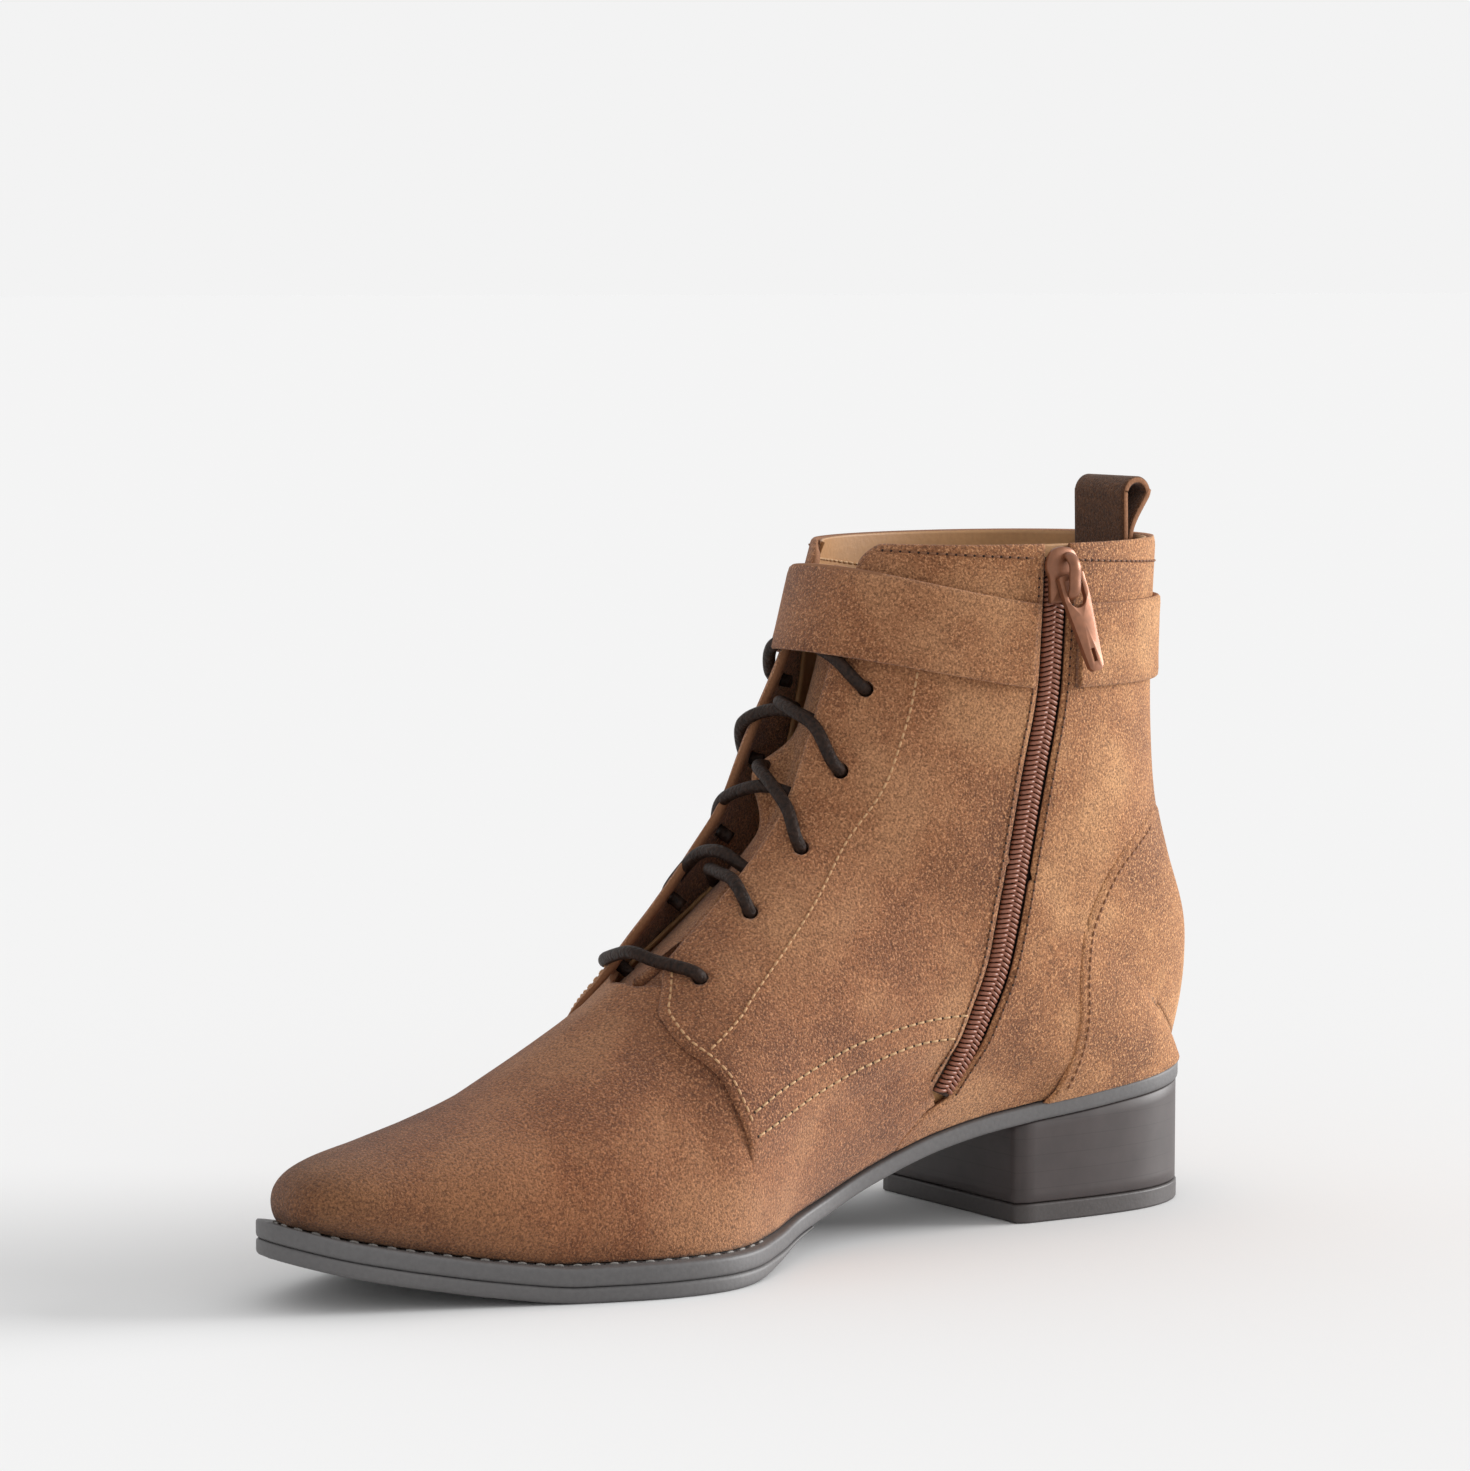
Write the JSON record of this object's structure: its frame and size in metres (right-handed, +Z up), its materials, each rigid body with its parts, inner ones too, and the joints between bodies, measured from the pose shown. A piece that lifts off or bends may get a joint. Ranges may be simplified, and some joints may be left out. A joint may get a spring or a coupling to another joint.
{
  "type": "lace-up ankle boot",
  "caption": "Right ankle boot in brown suede with derby lacing, an inside zip, an ankle strap, a heel pull loop and a low block heel.",
  "frame": {"origin": "on the floor, under the middle of the boot's box", "axes": "+Z up, the toe points along -Y, the inner side of the foot with the zip is +X"},
  "size_m": [0.0886, 0.2622, 0.1787],
  "materials": {
    "sole_rubber": "moulded rubber, semi-matt",
    "heel_stack": "stacked and stained, low gloss",
    "lining": "smooth tan leather",
    "suede": "napped brown suede",
    "waxed_cord": "round braided cord, waxed",
    "dark_suede": "dark brown suede",
    "zip_nylon": "woven tape with a nylon coil",
    "zip_lacquer": "copper-brown lacquered metal"
  },
  "bodies": {
    "boot": {"outsole": "sole_rubber", "midsole": "sole_rubber", "top_lift": "sole_rubber", "heel_block": "heel_stack", "insole": "lining", "upper": "suede", "heel_counter": "suede", "tongue": "suede", "lace_bar": "waxed_cord", "lace_crossing_1": "waxed_cord", "lace_crossing_2": "waxed_cord", "lace_crossing_3": "waxed_cord", "lace_crossing_4": "waxed_cord", "ankle_strap": "suede", "pull_loop": "dark_suede", "zip_chain": "zip_nylon", "zip_slider": "zip_lacquer"},
    "zip_pull": {"zip_pull": "zip_lacquer"}
  },
  "joints": [
    {"name": "pull_swing", "type": "hinge", "parent": "boot", "child": "zip_pull", "pos_m": [0.03476, 0.06925, 0.15686], "axis": [-0.0471, -0.977, -0.2079], "range_deg": [0, 150]}
  ]
}
